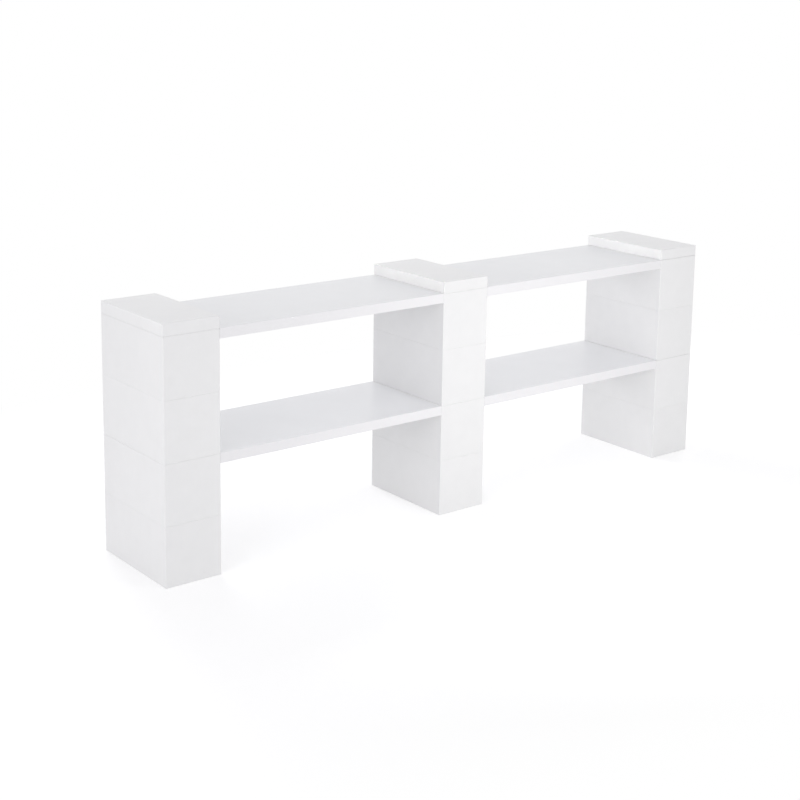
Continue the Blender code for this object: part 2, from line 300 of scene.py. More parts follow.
def model_shell(name, low, high, top_round, top_facets, foot_round):
    """An open box with rounded corners, and with its own rounding at the top edge and at the foot."""
    shell = add_box(name, low, high)
    round_off(shell, along(2), CORNER_ROUND, CORNER_FACETS)
    round_off(shell, all_at(2, high[2]), top_round, top_facets)
    round_off(shell, all_at(2, low[2]), foot_round, EDGE_FACETS)
    ceiling = high[2] - TOP_PLATE
    inner_low = (low[0] + WALL, low[1] + WALL, low[2] - OVERRUN)
    hollow = add_box("hollow", inner_low, (high[0] - WALL, high[1] - WALL, ceiling))
    round_off(hollow, along(2), INNER_ROUND, INNER_FACETS)
    round_off(hollow, all_at(2, ceiling), INNER_ROUND, INNER_FACETS)
    combine(shell, hollow, "DIFFERENCE")
    return shell


print("shell:", WALL * MM_PER_METRE, "mm walls, corners", CORNER_ROUND * MM_PER_METRE, "mm round")

# %% [markdown]
# ## Ribs and gripping tubes
#
# Seen from below, three tubes stand in a row inside the shell, and each grips the four lugs that come up
# round it. Ribs tie them to the long walls. They are boxes and rods joined by Boolean union, and the bores
# of the tubes are cut last, so that the ribs don't run through them.

# %% Add the ribs and the tubes
LUGS_ACROSS = 2
LUGS_DEEP = 4
LUG_PITCH = 0.0762
LUG_RADIUS = 0.025
LUG_GRIP = 0.0003
TUBE_RADIUS = math.hypot(LUG_PITCH, LUG_PITCH) / 2 - LUG_RADIUS - LUG_GRIP
TUBE_WALL = 0.003
TUBE_SIDES = 40
RIB_THICKNESS = 0.003
RIB_RECESS = 0.002


def grid(count, pitch):
    """Places along a line, centred on zero."""
    return [(index - (count - 1) / 2) * pitch for index in range(count)]


def add_ribs_and_tubes(shell, low, high):
    """Three ribs across the hollow, with an open tube in the middle of each."""
    middle = (low + high) / 2
    foot = low[2] + RIB_RECESS
    root = high[2] - TOP_PLATE / 2
    rows = [middle[1] + y for y in grid(LUGS_DEEP - 1, LUG_PITCH)]
    for y in rows:
        rib_low = (low[0] + WALL / 2, y - RIB_THICKNESS / 2, foot)
        rib_high = (high[0] - WALL / 2, y + RIB_THICKNESS / 2, root)
        combine(shell, add_box("rib", rib_low, rib_high), "UNION")
    places = [(middle[0], y) for y in rows]
    combine(shell, add_rods("tubes", TUBE_RADIUS, TUBE_SIDES, foot, root, places), "UNION")
    bore = TUBE_RADIUS - TUBE_WALL
    bores = add_rods("bores", bore, TUBE_SIDES, low[2] - OVERRUN, high[2] - TOP_PLATE, places)
    combine(shell, bores, "DIFFERENCE")


across = [round(2 * radius * MM_PER_METRE, 1) for radius in (TUBE_RADIUS, LUG_RADIUS)]
print("tubes:", across[0], "mm across, gripping lugs", across[1], "mm across")

# %% [markdown]
# ## The block and its lugs
#
# Eight round lugs stand on the block, each open through its middle. They are rods joined to the top, then
# bored, and their rims are picked by the sharp angle between crown and side. In the frame every piece keeps
# a hair of clearance from the next one. Here the block's body is made higher by most of that clearance, so
# that stacked blocks really sit on each other.

# %% Model one block
FIRST_BLOCK = "left_block_1"
SEATING = 0.00025
LUG_HEIGHT = 0.016
LUG_SIDES = 48
LUG_BORE_RADIUS = 0.0125
LUG_BORE_SIDES = 24
LUG_EASE = 0.0008
LUG_FACETS = 3


def lug_places(low, high):
    """Where a block's eight lugs stand, from the corners of its solid."""
    middle = (low + high) / 2
    columns, rows = grid(LUGS_ACROSS, LUG_PITCH), grid(LUGS_DEEP, LUG_PITCH)
    return [(middle[0] + x, middle[1] + y) for x in columns for y in rows]


def model_block():
    low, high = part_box(FIRST_BLOCK)
    body_high = Vector((high[0], high[1], high[2] - LUG_HEIGHT + SEATING))
    block = model_shell("block_pattern", low, body_high, EDGE_EASE, EDGE_FACETS, EDGE_EASE)
    add_ribs_and_tubes(block, low, body_high)
    places = lug_places(low, high)
    root = body_high[2] - TOP_PLATE / 2
    combine(block, add_rods("lugs", LUG_RADIUS, LUG_SIDES, root, high[2], places), "UNION")
    below = body_high[2] - TOP_PLATE - OVERRUN
    bores = add_rods("lug_bores", LUG_BORE_RADIUS, LUG_BORE_SIDES, below, high[2] + OVERRUN, places)
    combine(block, bores, "DIFFERENCE")
    round_off(block, meets_all(all_at(2, high[2]), is_sharp), LUG_EASE, LUG_FACETS)
    shade(block)
    return block


block_pattern = model_block()
report(block_pattern)

# %% [markdown]
# ## The cap
#
# The cap is the same kind of moulding, only 30 mm high and plain on top. Its top edge is about three times as
# round as a block's, and catches a thin line of light that tells the cap from the blocks. Its foot is eased
# more than a block's, so the seam below the cap is the clearest seam of a column.

# %% Model one cap
FIRST_CAP = "left_cap"
CAP_TOP_ROUND = 0.0016
CAP_TOP_FACETS = 5
CAP_FOOT_ROUND = 0.0008


def model_cap():
    low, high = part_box(FIRST_CAP)
    cap = model_shell("cap_pattern", low, high, CAP_TOP_ROUND, CAP_TOP_FACETS, CAP_FOOT_ROUND)
    add_ribs_and_tubes(cap, low, high)
    shade(cap)
    return cap


cap_pattern = model_cap()
report(cap_pattern)

# %% [markdown]
# ## The shelf board
#
# A shelf is a laminated board an inch thick. Under each end a shallow rebate takes the steel flange that
# carries it, so that the flange lies flush and doesn't show from the front. The board is made a hair longer
# and deeper than its solid, so that it closes up to the saddles and to the edge bands.
#
# The upper part is one long box. Its underside is divided where the rebates end, and the face between them
# is pulled down to the full thickness. The lower end corners are eased to clear the saddle's fold, the upper
# ones get a fine arris, and four pilot holes are cut from below.

# %% Model one board
FIRST_BOARD = "left_lower_shelf_board"
SCREW_NUMBERS = (1, 2, 3, 4)
REBATE_REACH = 0.035
REBATE_DEPTH = 0.0018
END_EASE = 0.0004
ARRIS = 0.0003
END_FACETS = 2
PILOT_RADIUS = 0.0022
PILOT_SIDES = 16
PILOT_DEPTH = 0.0139


def screw_places(board):
    """Where a shelf's four screws stand, from their nodes in the frame."""
    boxes = [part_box(board.replace("_board", f"_screw_{number}")) for number in SCREW_NUMBERS]
    return [((low + high) / 2).xy for low, high in boxes]


def model_board():
    low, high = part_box(FIRST_BOARD)
    seating = Vector((SEATING, SEATING, 0))
    low, high = low - seating, high + seating
    step = low[2] + REBATE_DEPTH
    board = add_box("board_pattern", (low[0], low[1], step), high)
    for place in (low[0] + REBATE_REACH, high[0] - REBATE_REACH):
        cut_across(board, place)
    middle = (low[0] + high[0]) / 2

    def between(face):
        """Whether this is the face between the two rebates."""
        return abs(face.calc_center_median().x - middle) < REBATE_REACH

    pull(board, "FACE", meets_all(all_at(2, step), between), (0, 0, -REBATE_DEPTH))
    at_ends = all_at(0, low[0], high[0])
    round_off(board, meets_all(at_ends, all_at(2, step)), END_EASE, END_FACETS)
    round_off(board, meets_all(at_ends, all_at(2, high[2])), ARRIS, END_FACETS)
    holes_high = low[2] + PILOT_DEPTH
    pilots = add_rods(
        "pilots", PILOT_RADIUS, PILOT_SIDES, low[2] - OVERRUN, holes_high, screw_places(FIRST_BOARD)
    )
    combine(board, pilots, "DIFFERENCE")
    shade(board)
    return board


board_pattern = model_board()
report(board_pattern)

# %% [markdown]
# ## The edge band
#
# A thin plastic strip is glued on the board's long edges, front and back. It runs a little past the board's
# ends, where it hides the folded steel, and as good as touches the blocks there. It could be part of the
# board, but on the real shelf it is a strip of its own, slightly brighter, with its outer edges scraped
# round.

# %% Model one edge band
FIRST_BAND = "left_lower_shelf_front_band"
BAND_EASE = 0.0004
BAND_FACETS = 3


def model_band():
    low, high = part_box(FIRST_BAND)
    low[0] -= SEATING
    high[0] += SEATING
    band = add_box("band_pattern", low, high)
    round_off(band, all_at(1, low[1]), BAND_EASE, BAND_FACETS)
    shade(band)
    return band


band_pattern = model_band()
report(band_pattern)

# %% [markdown]
# ## The steel saddle
#
# A saddle is one sheet of steel, cut and folded. Its plate lies over the lugs between two blocks, and ends
# half a millimetre behind the column's front and back. On a side that carries a shelf it turns down beside
# the block and turns out again under the shelf's end. The fold and the flange are a little narrower than the
# plate, so that they hide behind the shelf's edge bands.
#
# It is made as it would be in a workshop, from a flat plane. The plane is as deep as the board at first, and
# is widened by extruding its edges wherever no rounded corner of the block is near. Each fold is one more
# extrusion of its end, first down and then out. The left and right columns carry shelves on one side only,
# so there are three kinds.

# %% Cut and fold the sheet
SHEET = 0.0015
SIDE_GAP = 0.0003
LEFT, RIGHT = -1, 1


def beside(block, distance):
    """Two places at this distance outside a block's left and right faces."""
    low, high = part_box(block)
    return {LEFT: low[0] - distance, RIGHT: high[0] + distance}


def add_plate(name, left, right, front, back, level):
    """A flat plane that lies between four lines."""
    deselect_all()
    centre = ((left + right) / 2, (front + back) / 2, level)
    bpy.ops.mesh.primitive_plane_add(size=1, location=centre)
    bpy.ops.transform.resize(value=(right - left, back - front, 1))
    return settle(bpy.context.object, name)


def model_sheet(name, node, block, board, shelf_sides):
    """The middle of the sheet, folded down and out on each side that carries a shelf."""
    low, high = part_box(node)
    board_low, board_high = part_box(board)
    front, back = board_low[1], board_high[1]
    webs = beside(block, SIDE_GAP + SHEET / 2)
    tips = {LEFT: low[0], RIGHT: high[0]}
    left, right = (webs[side] if side in shelf_sides else tips[side] for side in (LEFT, RIGHT))
    sheet = add_plate(name, left, right, front, back, high[2] - SHEET / 2)
    corners = beside(block, -CORNER_ROUND)
    for side in shelf_sides:
        cut_across(sheet, corners[side])

    def in_plate(edge):
        """Whether the edge ends before the block's corners begin, on each side with a shelf."""
        places = [vert.co.x for vert in edge.verts]
        return all(side * (x - corners[side]) < SAME_PLACE for x in places for side in shelf_sides)

    for line, full in ((front, low[1]), (back, high[1])):
        pull(sheet, "EDGE", meets_all(all_at(1, line), in_plate), (0, full - line, 0))
    drop = high[2] - low[2] - SHEET
    for side in shelf_sides:
        pull(sheet, "EDGE", all_at(0, webs[side]), (0, 0, -drop), (tips[side] - webs[side], 0, 0))
    return sheet


print("sheet:", SHEET * MM_PER_METRE, "mm thick,", SIDE_GAP * MM_PER_METRE, "mm clear of the block's side")

# %% [markdown]
# Solidify gives the sheet its thickness, and the plate's upper face is moved up by the clearance, so that
# the block above really rests on it. Only the right column's seams stay as wide as they are, because they
# show as clear dark lines. The folds are pressed hard, with a radius of only half a millimetre outside, so
# that the shelf closes up to the column without a dark groove between them.

# %% Thicken the sheet and round its folds
FOLD_ROUND = 0.0005
FOLD_FACETS = 4


def thicken(sheet):
    make_active(sheet)
    bpy.ops.object.mode_set(mode="EDIT")
    bpy.ops.mesh.select_all(action="SELECT")
    bpy.ops.mesh.remove_doubles(threshold=SAME_PLACE)
    bpy.ops.mesh.normals_make_consistent(inside=False)
    bpy.ops.object.mode_set(mode="OBJECT")
    wall = sheet.modifiers.new("sheet", "SOLIDIFY")
    wall.thickness = SHEET
    wall.offset = 0
    wall.use_even_offset = True
    bpy.ops.object.modifier_apply(modifier=wall.name)


def top_of(sheet):
    return max(vert.co.z for vert in sheet.data.vertices)


def press_up(sheet):
    """Lifts the plate's upper face until it nearly meets the block above."""
    pick(sheet, "FACE", all_at(2, top_of(sheet)))
    bpy.ops.transform.translate(value=(0, 0, SEATING))
    bpy.ops.object.mode_set(mode="OBJECT")


def round_folds(sheet, node, block, shelf_sides):
    """Rounds the outer side of each upper fold, at the plate, and of each lower one, at the flange."""
    inner, outer = beside(block, SIDE_GAP), beside(block, SIDE_GAP + SHEET)
    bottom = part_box(node)[0][2]
    for side in shelf_sides:
        upper = meets_all(along(1), all_at(0, outer[side]), all_at(2, top_of(sheet)))
        round_off(sheet, upper, FOLD_ROUND, FOLD_FACETS)
        lower = meets_all(along(1), all_at(0, inner[side]), all_at(2, bottom))
        round_off(sheet, lower, FOLD_ROUND, FOLD_FACETS)


print("folds:", FOLD_ROUND * MM_PER_METRE, "mm round, plates lifted", SEATING * MM_PER_METRE, "mm")

# %% [markdown]
# The free corners of plate and flange are rounded, and the holes are cut: eight wide ones that pass over the
# lugs and two small ones in each flange. They come after the folds, because a hole's many edges would get in
# the way of picking. Last, all sharp edges are broken by a fine bevel, because a powder coat never covers a
# truly sharp edge.

# %% Drill and finish the saddles
LUG_HOLE_RADIUS = 0.026
LUG_HOLE_SIDES = 48
SCREW_HOLE_RADIUS = 0.0023
SCREW_HOLE_SIDES = 24
FLANGE_CORNER = 0.004
FREE_CORNER_FACETS = 5
SHEET_EASE = 0.0002
SHEET_EASE_FACETS = 1


def drill(sheet, block, boards):
    """Cuts the wide holes for the lugs and the small ones for the screws."""
    low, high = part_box(block)
    below, above = top_of(sheet) - 2 * SHEET, top_of(sheet) + OVERRUN
    holes = add_rods("lug_holes", LUG_HOLE_RADIUS, LUG_HOLE_SIDES, below, above, lug_places(low, high))
    combine(sheet, holes, "DIFFERENCE")
    middle, width = (low[0] + high[0]) / 2, high[0] - low[0]
    near = [place for board in boards for place in screw_places(board) if abs(place.x - middle) < width]
    bottom = min(vert.co.z for vert in sheet.data.vertices)
    below, above = bottom - OVERRUN, bottom + SHEET + OVERRUN
    holes = add_rods("screw_holes", SCREW_HOLE_RADIUS, SCREW_HOLE_SIDES, below, above, near)
    combine(sheet, holes, "DIFFERENCE")


def model_saddle(column, boards, shelf_sides, pressed=True):
    node = f"{column}_lower_saddle"
    block = f"{column}_block_2"
    sheet = model_sheet(f"{column}_saddle_pattern", node, block, boards[0], shelf_sides)
    thicken(sheet)
    if pressed:
        press_up(sheet)
    round_folds(sheet, node, block, shelf_sides)
    low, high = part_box(node)
    ends = {LEFT: low[0], RIGHT: high[0]}
    free = [end for side, end in ends.items() if side not in shelf_sides]
    if free:
        round_off(sheet, meets_all(along(2), all_at(0, *free)), CORNER_ROUND, FREE_CORNER_FACETS)
    tips = [end for side, end in ends.items() if side in shelf_sides]
    round_off(sheet, meets_all(along(2), all_at(0, *tips)), FLANGE_CORNER, FREE_CORNER_FACETS)
    drill(sheet, block, boards)
    round_off(sheet, is_sharp, SHEET_EASE, SHEET_EASE_FACETS)
    shade(sheet)
    return sheet


LEFT_BOARD, RIGHT_BOARD = "left_lower_shelf_board", "right_lower_shelf_board"
saddle_patterns = {
    "left": model_saddle("left", [LEFT_BOARD], (RIGHT,)),
    "middle": model_saddle("middle", [LEFT_BOARD, RIGHT_BOARD], (LEFT, RIGHT)),
    "right": model_saddle("right", [RIGHT_BOARD], (LEFT,), pressed=False),
}
for saddle_pattern in saddle_patterns.values():
    report(saddle_pattern)

# %% [markdown]
# ## The screw
#
# Short pan-head screws go up through the flanges into the shelf. Only their heads can be seen, from below,
# so the work goes there: a domed rim and a cross recess. The head is a cylinder whose lower rim is bevelled.
# Its upper face is inset and extruded into the shank and drawn together to a point. The recess is two
# crossed bars cut away.

# %% Model one screw
FIRST_SCREW = "left_lower_shelf_screw_1"
HEAD_RADIUS = 0.004
HEAD_HEIGHT = 0.0024
HEAD_SIDES = 32
HEAD_DOME = 0.0013
HEAD_FACETS = 5
SHANK_RADIUS = 0.002
TIP_LENGTH = 0.003
RECESS_LENGTH = 0.0044
RECESS_WIDTH = 0.0009
RECESS_DEPTH = 0.0015


def model_screw():
    low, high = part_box(FIRST_SCREW)
    middle = (low + high) / 2
    seat = low[2] + HEAD_HEIGHT + SEATING
    screw = add_rods("screw_pattern", HEAD_RADIUS, HEAD_SIDES, low[2], seat, [middle.xy])
    round_off(screw, all_at(2, low[2]), HEAD_DOME, HEAD_FACETS)
    pick(screw, "FACE", all_at(2, seat))
    bpy.ops.mesh.inset(thickness=HEAD_RADIUS - SHANK_RADIUS)
    shank = high[2] - TIP_LENGTH - seat
    bpy.ops.mesh.extrude_region_move(TRANSFORM_OT_translate={"value": (0, 0, shank)})
    bpy.ops.mesh.extrude_region_move(TRANSFORM_OT_translate={"value": (0, 0, TIP_LENGTH)})
    bpy.ops.mesh.merge(type="CENTER")
    bpy.ops.object.mode_set(mode="OBJECT")
    for reach in ((RECESS_LENGTH, RECESS_WIDTH), (RECESS_WIDTH, RECESS_LENGTH)):
        half = Vector((*reach, 0)) / 2
        bottom = Vector((middle[0], middle[1], low[2] - OVERRUN))
        top = Vector((middle[0], middle[1], low[2] + RECESS_DEPTH))
        combine(screw, add_box("recess", bottom - half, top + half), "DIFFERENCE")
    shade(screw)
    return screw


screw_pattern = model_screw()
report(screw_pattern)

# %% [markdown]
# ## Finishes made of nodes
#
# Every finish is a Principled material. What is the same all over, such as the index of refraction, is set
# on the shader's own socket, and what varies comes from nodes. Each helper adds a node, gives it its
# settings and links or values, and hands back what the next node needs.

# %% Define how nodes are added
def shader_socket(finish, name):
    names = {"Ior": "IOR"}
    return finish.node_tree.nodes["Principled BSDF"].inputs[names.get(name, name)]


def new_finish(name, **uniform):
    """A Principled material, with the values that don't vary set on its sockets."""
    finish = bpy.data.materials.new(name)
    finish.use_nodes = True
    for socket, value in uniform.items():
        shader_socket(finish, socket.replace("_", " ").title()).default_value = value
    return finish


def add_node(owner, kind, inputs=(), **settings):
    """A new node of a material or a world. Each input is a socket to link or a value to set."""
    node = owner.node_tree.nodes.new(kind)
    for name, value in settings.items():
        setattr(node, name, value)
    for name, value in dict(inputs).items():
        if isinstance(value, bpy.types.NodeSocket):
            owner.node_tree.links.new(value, node.inputs[name])
        else:
            node.inputs[name].default_value = value
    return node


def add_math(owner, operation, *values):
    """The result of one sum on values or sockets."""
    return add_node(owner, "ShaderNodeMath", dict(enumerate(values)), operation=operation).outputs[0]


# %% [markdown]
# What varies comes from noise on Object coordinates, so it needs no image and lies differently on each
# piece, because every piece keeps its place in its own mesh. Noise rarely reaches 0 or 1, so its middle part
# is stretched to the range that is wanted.
#
# A new piece also carries a number of its own, its tone. Blocks come from different shots of the mould, and
# no two have quite the same white. The tone is stored as an attribute, and the base colour is scaled by it.

# %% Define how colour, roughness and relief vary
NOISE_LOW, NOISE_HIGH = 0.3, 0.7


def add_noise(finish, per_metre, detail=2.0):
    """Noise from 0 to 1 with about so many grains in a metre."""
    place = add_node(finish, "ShaderNodeTexCoord").outputs["Object"]
    inputs = {"Vector": place, "Scale": per_metre, "Detail": detail}
    return add_node(finish, "ShaderNodeTexNoise", inputs).outputs["Fac"]


def spread(finish, value, low, high):
    """Stretches the middle of the noise to low..high."""
    inputs = {"Value": value, "From Min": NOISE_LOW, "From Max": NOISE_HIGH, "To Min": low, "To Max": high}
    return add_node(finish, "ShaderNodeMapRange", inputs).outputs["Result"]


def colour_varies(finish, colour, *factors):
    """Scales the base colour by each factor and by the piece's tone."""
    product = add_node(finish, "ShaderNodeAttribute", attribute_name="tone").outputs["Fac"]
    for factor in factors:
        product = add_math(finish, "MULTIPLY", product, factor)
    inputs = {0: colour, "Scale": product}
    scaled = add_node(finish, "ShaderNodeVectorMath", inputs, operation="SCALE").outputs["Vector"]
    finish.node_tree.links.new(scaled, shader_socket(finish, "Base Color"))


def roughness_varies(finish, value):
    finish.node_tree.links.new(value, shader_socket(finish, "Roughness"))


def raise_surface(finish, *layers):
    """Bump from several heights, each given with its real height in metres."""
    normal = None
    for value, height in layers:
        inputs = {"Height": value, "Distance": height, "Strength": 1.0}
        if normal:
            inputs["Normal"] = normal
        normal = add_node(finish, "ShaderNodeBump", inputs).outputs["Normal"]
    finish.node_tree.links.new(normal, shader_socket(finish, "Normal"))


# %% [markdown]
# ## White moulded plastic
#
# The blocks have a satin, finely grained surface that took its texture from the mould. Up close there is a
# grain of about a millimetre, over a slow waviness of the large walls. Where a rib stands behind a long
# wall, the plastic shrinks as it cools and leaves a shallow upright sink line, which only gloss shows.
#
# Caps come from another mould with a slightly finer polish. Both share one recipe with different numbers.

# %% Make the moulded plastics
PLASTIC_WHITE = (0.862, 0.861, 0.864)
PLASTIC_INDEX = 1.49
BLOCK_ROUGHNESS = 0.46
CAP_ROUGHNESS = 0.40
RUBBED = 0.04
RUBS_PER_METRE = 15
MOTTLES_PER_METRE = 30
MOTTLE = 0.009
WAVES_PER_METRE = 14
WAVE_HEIGHT = 0.00012
GRAINS_PER_METRE = 900
GRAIN_HEIGHT = 0.00008
SINK_WIDTH = 0.005
SINK_DEPTH = 0.00007


def add_sink_lines(finish):
    """A height that is 1 over most of the wall and falls to 0 behind each of the three ribs."""
    place = add_node(finish, "ShaderNodeTexCoord").outputs["Object"]
    depth = add_node(finish, "ShaderNodeSeparateXYZ", {"Vector": place}).outputs["Y"]
    off_middle = add_math(finish, "ABSOLUTE", depth)
    off_rib = add_math(finish, "PINGPONG", off_middle, LUG_PITCH / 2)
    past_ribs = add_math(finish, "SUBTRACT", off_middle, LUG_PITCH * 3 / 2)
    distance = add_math(finish, "MAXIMUM", off_rib, past_ribs)
    inputs = {"Value": distance, "From Min": 0.0, "From Max": SINK_WIDTH, "To Min": 0.0, "To Max": 1.0}
    return add_node(finish, "ShaderNodeMapRange", inputs, interpolation_type="SMOOTHSTEP").outputs["Result"]


def make_moulded_plastic(name, roughness, grain_height):
    finish = new_finish(name, ior=PLASTIC_INDEX)
    mottle = spread(finish, add_noise(finish, MOTTLES_PER_METRE, detail=4.0), 1 - MOTTLE, 1 + MOTTLE)
    colour_varies(finish, PLASTIC_WHITE, mottle)
    rubs = add_noise(finish, RUBS_PER_METRE, detail=3.0)
    roughness_varies(finish, spread(finish, rubs, roughness - RUBBED, roughness + RUBBED))
    waves = add_noise(finish, WAVES_PER_METRE, detail=1.0)
    grain = add_noise(finish, GRAINS_PER_METRE)
    raise_surface(finish, (waves, WAVE_HEIGHT), (add_sink_lines(finish), SINK_DEPTH), (grain, grain_height))
    return finish


BLOCK_PLASTIC = make_moulded_plastic("moulded_white", BLOCK_ROUGHNESS, GRAIN_HEIGHT)
CAP_PLASTIC = make_moulded_plastic("polished_white", CAP_ROUGHNESS, GRAIN_HEIGHT / 2)
print("plastics:", BLOCK_PLASTIC.name, "and", CAP_PLASTIC.name)

# %% [markdown]
# ## Laminate
#
# The board wears a white melamine skin, a trace cooler than the plastic, pressed with a fine pebble that
# breaks up reflections. The board under it is never quite flat, so the same slow waves lie beneath the
# pebble, only longer.

# %% Make the laminate
LAMINATE_WHITE = (0.843, 0.847, 0.862)
LAMINATE_INDEX = 1.52
LAMINATE_CLOUDS_PER_METRE = 9
LAMINATE_CLOUDS = (0.991, 1.009)
LAMINATE_RUBS_PER_METRE = 20
LAMINATE_ROUGHNESS = (0.28, 0.34)
LONG_WAVES_PER_METRE = 5
PEBBLES_PER_METRE = 550
PEBBLE_HEIGHT = 0.0001


def make_laminate():
    finish = new_finish("melamine_white", ior=LAMINATE_INDEX)
    clouds = add_noise(finish, LAMINATE_CLOUDS_PER_METRE, detail=3.0)
    colour_varies(finish, LAMINATE_WHITE, spread(finish, clouds, *LAMINATE_CLOUDS))
    rubs = add_noise(finish, LAMINATE_RUBS_PER_METRE, detail=3.0)
    roughness_varies(finish, spread(finish, rubs, *LAMINATE_ROUGHNESS))
    pebbles = add_noise(finish, PEBBLES_PER_METRE, detail=1.0)
    waves = add_noise(finish, LONG_WAVES_PER_METRE, detail=1.0)
    raise_surface(finish, (waves, WAVE_HEIGHT), (pebbles, PEBBLE_HEIGHT))
    return finish


LAMINATE = make_laminate()
print("shelf finish:", LAMINATE.name)

# %% [markdown]
# ## Edge band
#
# The band is a smooth extruded strip, the brightest white of the unit, with a trace of violet. Its fine
# lines run along its length, so its noise is squeezed in that direction: a noise that changes fifty times
# more slowly along the band draws each grain out into a line.

# %% Make the edge band's plastic
BAND_WHITE = (0.862, 0.856, 0.871)
BAND_INDEX = 1.52
BAND_ROUGHNESS = (0.30, 0.40)
DRAW_LINES_PER_METRE = 1500
DRAW_LINE_SQUEEZE = (0.02, 1, 1)
DRAW_LINE_HEIGHT = 0.00001


def make_band():
    finish = new_finish("edge_band_white", ior=BAND_INDEX)
    colour_varies(finish, BAND_WHITE)
    place = add_node(finish, "ShaderNodeTexCoord").outputs["Object"]
    inputs = {"Vector": place, "Scale": DRAW_LINE_SQUEEZE}
    drawn = add_node(finish, "ShaderNodeMapping", inputs).outputs["Vector"]
    inputs = {"Vector": drawn, "Scale": DRAW_LINES_PER_METRE, "Detail": 1.0}
    lines = add_node(finish, "ShaderNodeTexNoise", inputs).outputs["Fac"]
    roughness_varies(finish, spread(finish, lines, *BAND_ROUGHNESS))
    raise_surface(finish, (lines, DRAW_LINE_HEIGHT))
    return finish


EDGE_BAND = make_band()
print("band finish:", EDGE_BAND.name)

# %% [markdown]
# ## Powder coat
#
# The saddles are powder coated white. The coat melts into a soft orange peel, a few millimetres from crest
# to crest, and is glossier than the plastic. A thin clear coat in the shader gives that second, sharper
# shine.

# %% Make the powder coat
COAT_WHITE = (0.862, 0.862, 0.864)
COAT_INDEX = 1.5
CLEAR_WEIGHT = 0.2
CLEAR_ROUGHNESS = 0.2
COAT_CLOUDS_PER_METRE = 60
COAT_CLOUDS = (0.99, 1.01)
COAT_RUBS_PER_METRE = 90
COAT_ROUGHNESS = (0.34, 0.44)
PEEL_PER_METRE = 420
PEEL_HEIGHT = 0.00006


def make_powder_coat():
    finish = new_finish(
        "powder_coat_white", ior=COAT_INDEX, coat_weight=CLEAR_WEIGHT, coat_roughness=CLEAR_ROUGHNESS
    )
    clouds = add_noise(finish, COAT_CLOUDS_PER_METRE)
    colour_varies(finish, COAT_WHITE, spread(finish, clouds, *COAT_CLOUDS))
    rubs = add_noise(finish, COAT_RUBS_PER_METRE)
    roughness_varies(finish, spread(finish, rubs, *COAT_ROUGHNESS))
    raise_surface(finish, (add_noise(finish, PEEL_PER_METRE, detail=1.0), PEEL_HEIGHT))
    return finish


POWDER_COAT = make_powder_coat()
print("saddle finish:", POWDER_COAT.name)

# %% [markdown]
# ## Zinc
#
# The screws are zinc plated, so they are metal: all of their colour is in the reflection. The plating has a
# faint patchiness from its passivation, and the head keeps very fine marks of its making.

# %% Make the zinc
ZINC = (0.66, 0.67, 0.69)
ZINC_PATCHES_PER_METRE = 900
ZINC_PATCHES = (0.92, 1.06)
ZINC_RUBS_PER_METRE = 2500
ZINC_ROUGHNESS = (0.26, 0.40)
MARKS_PER_METRE = 6000
MARK_HEIGHT = 0.000004


def make_zinc():
    finish = new_finish("zinc_plated", metallic=1.0)
    patches = add_noise(finish, ZINC_PATCHES_PER_METRE)
    colour_varies(finish, ZINC, spread(finish, patches, *ZINC_PATCHES))
    rubs = add_noise(finish, ZINC_RUBS_PER_METRE)
    roughness_varies(finish, spread(finish, rubs, *ZINC_ROUGHNESS))
    raise_surface(finish, (add_noise(finish, MARKS_PER_METRE, detail=1.0), MARK_HEIGHT))
    return finish


ZINC_PLATE = make_zinc()
print("screw finish:", ZINC_PLATE.name)

# %% [markdown]
# ## Setting the copies in place
#
# What repeats was modelled once. Each copy gets its own mesh, moved by the distance between its solid and
# the first one. It rides on the frame's one body, stands for its solid, takes its finish and gets its tone.

# %% Define how a copy is placed
ROOT = "root"
tones = random.Random(12)


def set_tone(piece, variation):
    """Stores the piece's own brightness as an attribute of its mesh."""
    tone = piece.data.attributes.new("tone", "FLOAT", "POINT")
    value = 1 + tones.uniform(-variation, variation)
    tone.data.foreach_set("value", [value] * len(piece.data.vertices))


def place_copy(pattern, first, node, finish, variation, turn=0.0):
    """Copies the pattern from the first node's place to another's, turned about the upright if need be."""
    make_active(pattern)
    bpy.ops.object.duplicate(linked=False)
    copy = bpy.context.object
    low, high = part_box(node)
    first_low, first_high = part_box(first)
    shift = (low + high - first_low - first_high) / 2
    bpy.ops.transform.translate(value=shift)
    if turn:
        centre = (low + high) / 2
        bpy.ops.transform.rotate(value=turn, orient_axis="Z", center_override=centre)
    settle(copy, node + "_piece")
    copy.data.materials.clear()
    copy.data.materials.append(finish)
    set_tone(copy, variation)
    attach(copy, ROOT)
    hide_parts(node)
    return copy


# %% [markdown]
# A column is stacked as by hand: two blocks, a saddle, two more blocks with a second saddle over the last
# lugs, and the cap on top. The patterns stay in the scene until the last copy is made.

# %% Stack the blocks, saddles and caps
SHADE_RANGE = 0.005
COLUMNS = ("left", "middle", "right")
BLOCK_NUMBERS = (1, 2, 3, 4)
LEVELS = ("lower", "upper")

for column in COLUMNS:
    for number in BLOCK_NUMBERS:
        block = f"{column}_block_{number}"
        place_copy(block_pattern, FIRST_BLOCK, block, BLOCK_PLASTIC, SHADE_RANGE)
    for level in LEVELS:
        pattern, first = saddle_patterns[column], f"{column}_lower_saddle"
        saddle = f"{column}_{level}_saddle"
        place_copy(pattern, first, saddle, POWDER_COAT, SHADE_RANGE)
    place_copy(cap_pattern, FIRST_CAP, f"{column}_cap", CAP_PLASTIC, SHADE_RANGE)

# %% [markdown]
# A shelf is a board with a band on its front and its back, and four screws. The back band is the front one
# turned half round, so that its rounded edges face outwards too. No one drives every screw to the same
# stop, so each cross recess is turned by a random part of a quarter turn.

# %% Set the shelves and drive the screws
ZINC_RANGE = 0.03
HALF_TURN = math.pi
QUARTER_TURN = math.pi / 2

